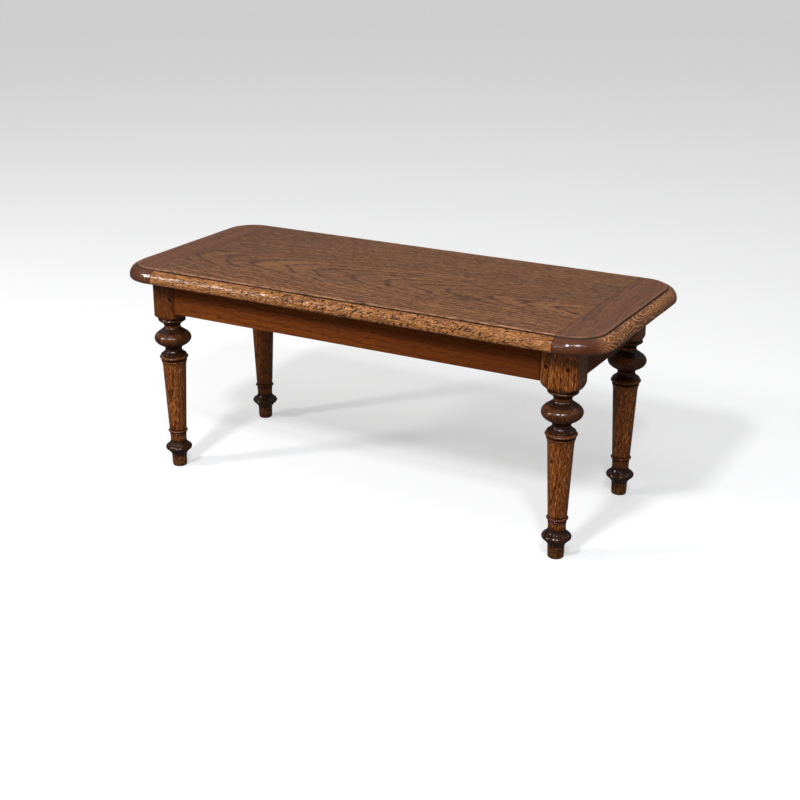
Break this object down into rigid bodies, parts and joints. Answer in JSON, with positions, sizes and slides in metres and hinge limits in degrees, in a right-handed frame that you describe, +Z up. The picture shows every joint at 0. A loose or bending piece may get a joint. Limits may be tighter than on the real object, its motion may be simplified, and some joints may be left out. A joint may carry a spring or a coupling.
{
  "type": "miniature dining table",
  "caption": "Small oak farmhouse table with a rounded, moulded top, turned legs and pegged rails.",
  "frame": {"origin": "on the floor under the middle of the top", "axes": "+X along the table to its right end, +Y from the front edge to the back, +Z up"},
  "size_m": [0.45, 0.196, 0.19],
  "materials": {
    "top_oak": "worn satin wax on weathered brown oak, grain along the table",
    "cross_board_oak": "satin wax on red-brown oak, grain across the table",
    "leg_oak": "satin varnish on warm brown oak, nearly black in the turned hollows",
    "rail_oak": "satin varnish on dark red-brown oak",
    "peg_oak": "dark end grain, waxed",
    "glue_block_pine": "bare softwood, aged"
  },
  "bodies": {
    "root": {"top_board": "top_oak", "left_cross_board": "cross_board_oak", "right_cross_board": "cross_board_oak", "front_left_leg": "leg_oak", "front_right_leg": "leg_oak", "back_left_leg": "leg_oak", "back_right_leg": "leg_oak", "front_rail": "rail_oak", "back_rail": "rail_oak", "left_end_rail": "rail_oak", "right_end_rail": "rail_oak", "front_left_peg": "peg_oak", "front_right_inner_peg": "peg_oak", "front_right_outer_peg": "peg_oak", "back_left_peg": "peg_oak", "back_right_peg": "peg_oak", "front_left_glue_block": "glue_block_pine", "front_right_glue_block": "glue_block_pine", "back_left_glue_block": "glue_block_pine", "back_right_glue_block": "glue_block_pine", "left_end_glue_block": "glue_block_pine", "right_end_glue_block": "glue_block_pine"}
  },
  "joints": []
}
